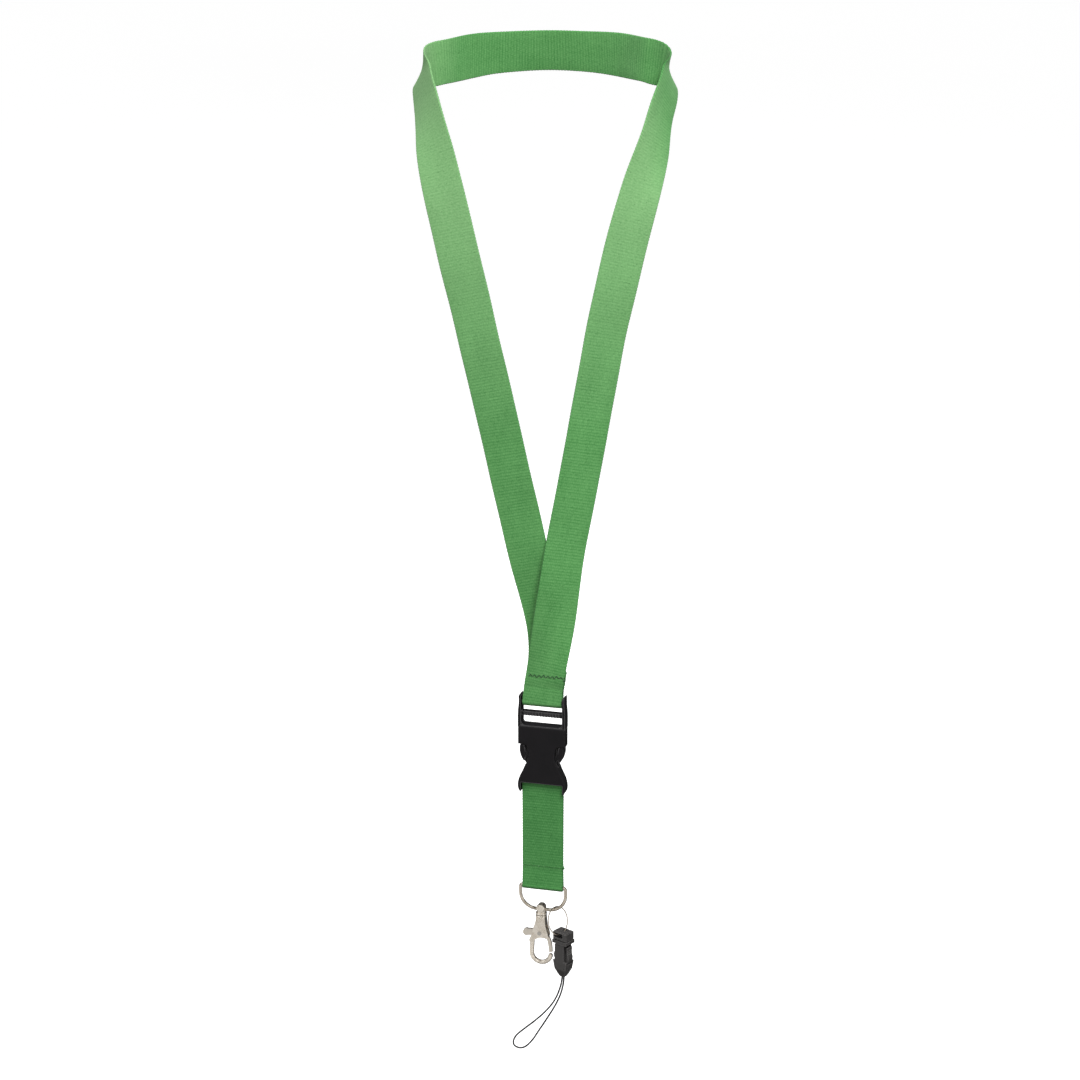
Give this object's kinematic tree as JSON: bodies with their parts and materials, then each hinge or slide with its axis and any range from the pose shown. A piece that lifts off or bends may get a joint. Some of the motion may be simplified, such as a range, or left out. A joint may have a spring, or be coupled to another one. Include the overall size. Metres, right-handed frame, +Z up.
{
  "type": "lanyard badge holder",
  "caption": "Worn neck loop of green woven webbing with a side release buckle, drop loop, D-ring, swivel trigger hook and a mini connector with phone cord.",
  "frame": {"origin": "middle of the webbing behind the wearer's neck, where the part hangs", "axes": "+Z up along the hanging line, front of the buckle towards -Y, +X to the viewer's right"},
  "size_m": [0.1154, 0.0931, 0.4705],
  "materials": {
    "webbing": "woven polyester, ribbed across",
    "thread": "darker sewing thread",
    "buckle_plastic": "moulded acetal, fine texture",
    "ring_steel": "nickel plated wire",
    "hook_cast": "nickel plated casting",
    "spring_steel": "bare spring wire",
    "connector_plastic": "moulded, satin",
    "cord": "tight round braid"
  },
  "bodies": {
    "neck_loop": {"neck_webbing": "webbing", "neck_join_stitching": "thread"},
    "buckle_plug": {"buckle_male_frame": "buckle_plastic"},
    "prong_left": {"prong_left": "buckle_plastic"},
    "prong_right": {"prong_right": "buckle_plastic"},
    "buckle_socket": {"buckle_female_body": "buckle_plastic"},
    "drop_loop": {"drop_webbing": "webbing", "drop_stitching": "thread"},
    "d_ring": {"d_ring": "ring_steel"},
    "swivel_head": {"swivel_eye": "hook_cast", "swivel_rivet": "hook_cast"},
    "hook": {"hook_body": "hook_cast", "lever_rivet": "hook_cast", "lever_spring": "spring_steel"},
    "trigger": {"trigger_lever": "hook_cast"},
    "link": {"jump_ring": "ring_steel"},
    "connector_top": {"connector_cap": "connector_plastic"},
    "connector_lower": {"connector_body": "connector_plastic", "cord_knot": "cord", "phone_cord": "cord"},
    "latch_left": {"connector_latch_left": "connector_plastic"},
    "latch_right": {"connector_latch_right": "connector_plastic"}
  },
  "joints": [
    {"name": "buckle_swing", "type": "hinge", "parent": "neck_loop", "child": "buckle_plug", "pos_m": [0.0215, -0.0822, -0.2862], "axis": [1, 0, 0], "range_deg": [-35, 35]},
    {"name": "prong_right_squeeze", "type": "hinge", "parent": "buckle_plug", "child": "prong_right", "pos_m": [0.0295, -0.0822, -0.3006], "axis": [0, 1, 0], "range_deg": [0, 5.5], "stiffness_Nm_per_rad": 0.1, "springref_deg": -1.15},
    {"name": "prong_left_squeeze", "type": "hinge", "parent": "buckle_plug", "child": "prong_left", "pos_m": [0.0135, -0.0822, -0.3006], "axis": [0, -1, 0], "range_deg": [0, 5.5], "stiffness_Nm_per_rad": 0.1, "springref_deg": -1.15},
    {"name": "buckle_release", "type": "slide", "parent": "buckle_plug", "child": "buckle_socket", "axis": [0, 0, -1], "range_m": [0, 0.024], "deforming": ["prong_left", "prong_right"]},
    {"name": "drop_swing", "type": "hinge", "parent": "buckle_socket", "child": "drop_loop", "pos_m": [0.0215, -0.0817, -0.325], "axis": [1, 0, 0], "range_deg": [-12, 35]},
    {"name": "d_ring_swing", "type": "hinge", "parent": "drop_loop", "child": "d_ring", "pos_m": [0.0215, -0.0817, -0.3781], "axis": [1, 0, 0], "range_deg": [-60, 60]},
    {"name": "hook_swing", "type": "hinge", "parent": "d_ring", "child": "swivel_head", "pos_m": [0.0207, -0.0817, -0.3899], "axis": [1, 0, 0], "range_deg": [-50, 50]},
    {"name": "hook_swivel", "type": "hinge", "parent": "swivel_head", "child": "hook", "pos_m": [0.0207, -0.0817, -0.394], "axis": [0, 0, 1], "range_deg": [-120, 120]},
    {"name": "trigger_open", "type": "hinge", "parent": "hook", "child": "trigger", "pos_m": [0.0203, -0.0817, -0.4016], "axis": [0, 1, 0], "range_deg": [0, 22], "stiffness_Nm_per_rad": 0.01, "springref_deg": -14.32},
    {"name": "link_swing", "type": "hinge", "parent": "d_ring", "child": "link", "pos_m": [0.0271, -0.0817, -0.38949], "axis": [1, 0, 0], "range_deg": [-35, 35]},
    {"name": "connector_swing", "type": "hinge", "parent": "link", "child": "connector_top", "pos_m": [0.0308, -0.08342, -0.40084], "axis": [-0.4226, -0.9063, 0], "range_deg": [0, 35]},
    {"name": "connector_release", "type": "slide", "parent": "connector_top", "child": "connector_lower", "axis": [0, 0, -1], "range_m": [0, 0.011]},
    {"name": "latch_right_squeeze", "type": "hinge", "parent": "connector_lower", "child": "latch_right", "pos_m": [0.03412, -0.08297, -0.4154], "axis": [-0.4226, -0.9063, 0], "range_deg": [0, 5], "stiffness_Nm_per_rad": 0.008, "springref_deg": -2.86},
    {"name": "latch_left_squeeze", "type": "hinge", "parent": "connector_lower", "child": "latch_left", "pos_m": [0.02868, -0.08043, -0.4154], "axis": [0.4226, 0.9063, 0], "range_deg": [0, 5], "stiffness_Nm_per_rad": 0.008, "springref_deg": -2.86}
  ],
  "couplings": [
    {"joint": "prong_left_squeeze", "follows": "prong_right_squeeze", "ratio": 1},
    {"joint": "latch_left_squeeze", "follows": "latch_right_squeeze", "ratio": 1}
  ]
}
